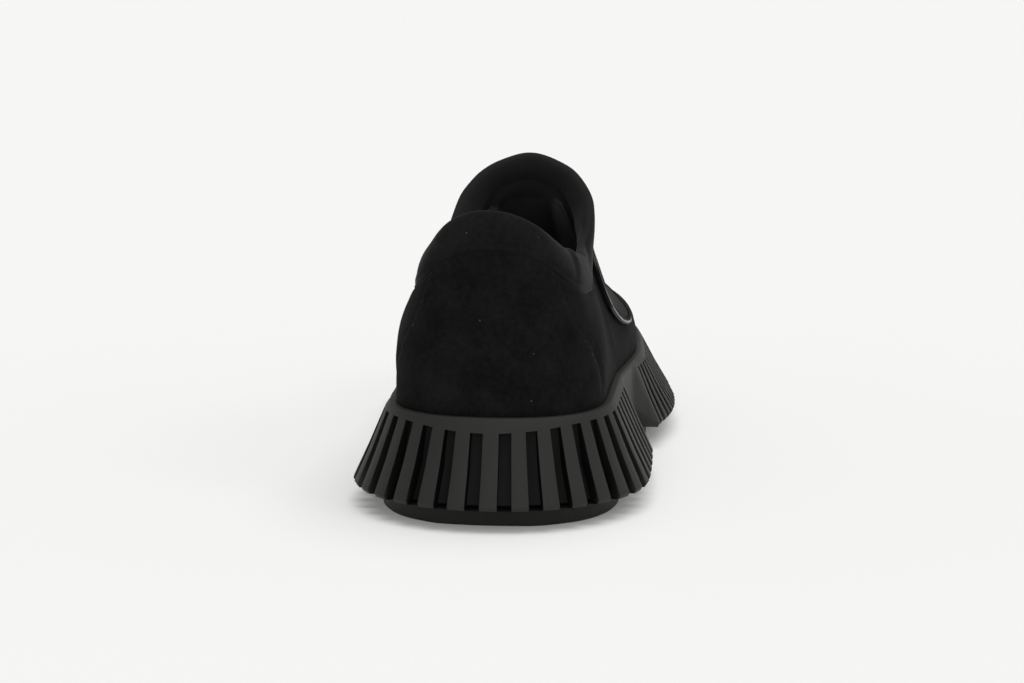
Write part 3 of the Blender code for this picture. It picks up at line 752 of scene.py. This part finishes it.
def sew(name, line, surface):
    """A row of stitches along a line on a surface."""
    bpy.ops.object.select_all(action="DESELECT")
    bpy.ops.mesh.primitive_uv_sphere_add(segments=STITCH_SIDES, ring_count=STITCH_RINGS, radius=0.5)
    one = bpy.context.object
    shape = read(one.data.vertices, "co", 3)[:, (2, 0, 1)]
    shape *= np.array((STITCH_LENGTH, STITCH_THICK, STITCH_THICK)) * MM
    shape[:, 2] -= STITCH_SAG * MM * (2.0 * shape[:, 0] / (STITCH_LENGTH * MM)) ** 2
    faces = [list(p.vertices) for p in one.data.polygons]
    bpy.data.objects.remove(one)
    lengths = np.concatenate(([0.0], np.cumsum(np.linalg.norm(np.diff(line, axis=0), axis=1))))
    count = int(lengths[-1] / (STITCH_PITCH * MM))
    vertices, polygons = [], []
    for i in range(count):
        middle = (i + 0.5) * lengths[-1] / count
        k = min(int(np.searchsorted(lengths, middle)), len(line) - 2)
        place, normal, _, _ = surface.find_nearest(Vector(line[k]))
        run = Vector(line[min(k + STITCH_LOOK, len(line) - 1)] - line[max(k - STITCH_LOOK, 0)]).normalized()
        across = normal.cross(run).normalized()
        run = across.cross(normal)
        first = len(vertices)
        for x, y, z in shape:
            vertices.append(place + normal * STITCH_LIFT * MM + run * x + across * y + normal * z)
        polygons += [[first + v for v in face] for face in faces]
    mesh = bpy.data.meshes.new(name)
    mesh.from_pydata(vertices, [], polygons)
    stitches = bpy.data.objects.new(name, mesh)
    bpy.context.scene.collection.objects.link(stitches)
    select_only(stitches)
    bpy.ops.object.shade_smooth()
    dress(stitches, thread)


# Black thread is as dark as the nap around it, apart from a stitch here and there that is lighter grey.
thread, tree, shader, place = new_material("thread_black", Roughness=0.6, Specular_IOR_Level=0.15)
rub = add_node(tree, "ShaderNodeTexNoise", {"Scale": 1.0 / (THREAD_PATCH * MM)}, {"Vector": place})
few = add_node(tree, "ShaderNodeMapRange", {"From Min": 0.58, "From Max": 0.66},
               {"Value": rub.outputs["Fac"]})
colour = add_node(tree, "ShaderNodeMix", {6: linear(COLLAR_DARK), 7: linear(THREAD_LIGHTER)},
                  {0: few.outputs["Result"]}, data_type="RGBA")
tree.links.new(colour.outputs[2], shader.inputs["Base Color"])

band = BVHTree.FromObject(collar, bpy.context.evaluated_depsgraph_get())
sew("collar_stitches", top_edge + np.array((0.0, 0.0, STITCH_ROW * MM)), band)
skin = BVHTree.FromObject(upper, bpy.context.evaluated_depsgraph_get())
for name, seam in zip(("counter_stitches_outer", "counter_stitches_inner"), counter_seams):
    sew(name, seam[COUNTER_SEWN] - np.array((0.0, COUNTER_ROW * MM, 0.0)), skin)

# Saddle strap
# A strap of smooth black leather laid over the instep, with rounded ends and a burnished edge. A line is
# creased into it along the edge, and it is stuck and sewn to the upper from below.
STRAP_EDGE = 0.75
STRAP_EDGE_STEPS = 3
STRAP_LEVELS = 2
STRAP_TOP = 1.5
BEAD_IN = 1.1
BEAD_HEIGHT = 0.25
BEAD_WIDTH = 0.7
CREASE_IN = 2.3
CREASE_DEPTH = 0.6
CREASE_WIDTH = 0.55
STRAP_COLOUR = "#0e0e0d"
STRAP_RUBBED = "#141413"
STRAP_PATCH = 14.0
STRAP_GRAIN = 0.9
STRAP_GRAIN_HEIGHT = 0.08
BURNISHED = 0.85
BURNISHED_PATCH = 5.0

strap = copy_of("saddle_strap", "saddle")
strap_mesh = strap.data


def on_top(a, b, faces):
    """Whether an edge is on the strap's upper face, a leather's thickness off the upper."""
    middle = (strap_mesh.vertices[a].co + strap_mesh.vertices[b].co) / 2
    return skin.find_nearest(middle)[3] > STRAP_TOP * MM


strap_edge = sharp_loop(strap_mesh, on_top)
apply_modifier(strap, "BEVEL", width=STRAP_EDGE * MM, segments=STRAP_EDGE_STEPS, limit_method="ANGLE",
               angle_limit=math.radians(RIM_ANGLE))
apply_modifier(strap, "SUBSURF", levels=STRAP_LEVELS, render_levels=STRAP_LEVELS)
points = read(strap_mesh.vertices, "co", 3)
normals = read(strap_mesh.vertex_normals, "vector", 3)
from_edge, _ = nearest(strap_edge, points)
rise = BEAD_HEIGHT * MM * bell(from_edge - BEAD_IN * MM, BEAD_WIDTH)
rise -= CREASE_DEPTH * MM * bell(from_edge - CREASE_IN * MM, CREASE_WIDTH)
points += normals * np.where(outward(points, normals), rise, 0.0)[:, None]
reshape(strap, points)

# Smooth leather has a close grain and only a low soft gloss, with paler patches where it has been rubbed.
leather, tree, shader, place = new_material("smooth_leather", Roughness=0.6, Specular_IOR_Level=0.05)
rub = add_node(tree, "ShaderNodeTexNoise", {"Scale": 1.0 / (STRAP_PATCH * MM), "Detail": 4.0},
               {"Vector": place})
colour = add_node(tree, "ShaderNodeMix", {6: linear(STRAP_COLOUR), 7: linear(STRAP_RUBBED)},
                  {0: rub.outputs["Fac"]}, data_type="RGBA")
polish = add_node(tree, "ShaderNodeMapRange", {"To Min": 0.52, "To Max": 0.68}, {"Value": rub.outputs["Fac"]})
grain = add_node(tree, "ShaderNodeTexVoronoi", {"Scale": 1.0 / (STRAP_GRAIN * MM)}, {"Vector": place})
bump = add_node(tree, "ShaderNodeBump", {"Strength": 0.12, "Distance": STRAP_GRAIN_HEIGHT * MM},
                {"Height": grain.outputs["Distance"]})
tree.links.new(colour.outputs[2], shader.inputs["Base Color"])
tree.links.new(polish.outputs["Result"], shader.inputs["Roughness"])
tree.links.new(bump.outputs["Normal"], shader.inputs["Normal"])
dress(strap, leather)

# The cut edge is dyed and burnished until it shines.
burnished, tree, shader, place = new_material(
    "leather_edge_burnished", Roughness=0.26, Specular_IOR_Level=0.5)
wax = add_node(tree, "ShaderNodeTexNoise", {"Scale": 1.0 / (BURNISHED_PATCH * MM), "Detail": 2.0},
               {"Vector": place})
colour = add_node(tree, "ShaderNodeMix", {6: linear(STRAP_COLOUR), 7: linear(STRAP_RUBBED)},
                  {0: wax.outputs["Fac"]}, data_type="RGBA")
tree.links.new(colour.outputs[2], shader.inputs["Base Color"])
strap_mesh.materials.append(burnished)
at_edge = nearest(strap_edge, read(strap_mesh.polygons, "center", 3))[0] < BURNISHED * MM
strap_mesh.polygons.foreach_set("material_index", at_edge.astype(np.int32))
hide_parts("saddle_strap")

# Studio
# A wide table of pale matt paper in a dim room. A large soft lamp hangs overhead, a weak one on the outer
# side gives the burnished edge its gloss, and a fill lamp on the camera's side lightens the heel.
FLOOR_SIZE = 60.0
FLOOR_COLOUR = "#e6e6e5"
FLOOR_GLOW = 0.14
ROOM_COLOUR = "#f2f2f1"
ROOM_BRIGHT = 0.85
ROOM_BRIGHT_TO = 0.15
ROOM_DIM = 0.1
ROOM_DIM_FROM = 0.6
# Each lamp's name and strength, and its softness, tilt and turn in degrees.
LAMPS = (
    ("top_lamp", 2.2, 60.0, 7.0, 112.0),
    ("side_lamp", 0.18, 22.0, 58.0, 62.0),
    ("fill_lamp", 0.62, 50.0, 55.0, 4.0),
)

bpy.ops.object.select_all(action="DESELECT")
bpy.ops.mesh.primitive_plane_add(size=FLOOR_SIZE)
floor = bpy.context.object
floor.name = "floor"
paper = linear(FLOOR_COLOUR)
table, tree, shader, place = new_material(
    "table_paper", Roughness=0.9, Specular_IOR_Level=0.0, Base_Color=paper, Emission_Color=paper,
    Emission_Strength=FLOOR_GLOW)
floor.data.materials.append(table)

room = bpy.data.worlds.new("room")
room.use_nodes = True
sky = room.node_tree.nodes["Background"]
sky.inputs["Color"].default_value = linear(ROOM_COLOUR)
way = add_node(room.node_tree, "ShaderNodeTexCoord")
up = add_node(room.node_tree, "ShaderNodeSeparateXYZ", links={"Vector": way.outputs["Generated"]})
fade = add_node(room.node_tree, "ShaderNodeMapRange",
                {"From Min": ROOM_BRIGHT_TO, "From Max": ROOM_DIM_FROM,
                 "To Min": ROOM_BRIGHT, "To Max": ROOM_DIM},
                {"Value": up.outputs["Z"]}, interpolation_type="SMOOTHSTEP")
room.node_tree.links.new(fade.outputs["Result"], sky.inputs["Strength"])
bpy.context.scene.world = room
bpy.context.scene.view_settings.view_transform = "Standard"

for name, strength, softness, tilt, turn in LAMPS:
    bpy.ops.object.light_add(type="SUN", rotation=(math.radians(tilt), 0.0, math.radians(turn)))
    lamp = bpy.context.object
    lamp.name = name
    lamp.data.energy = strength
    lamp.data.angle = math.radians(softness)
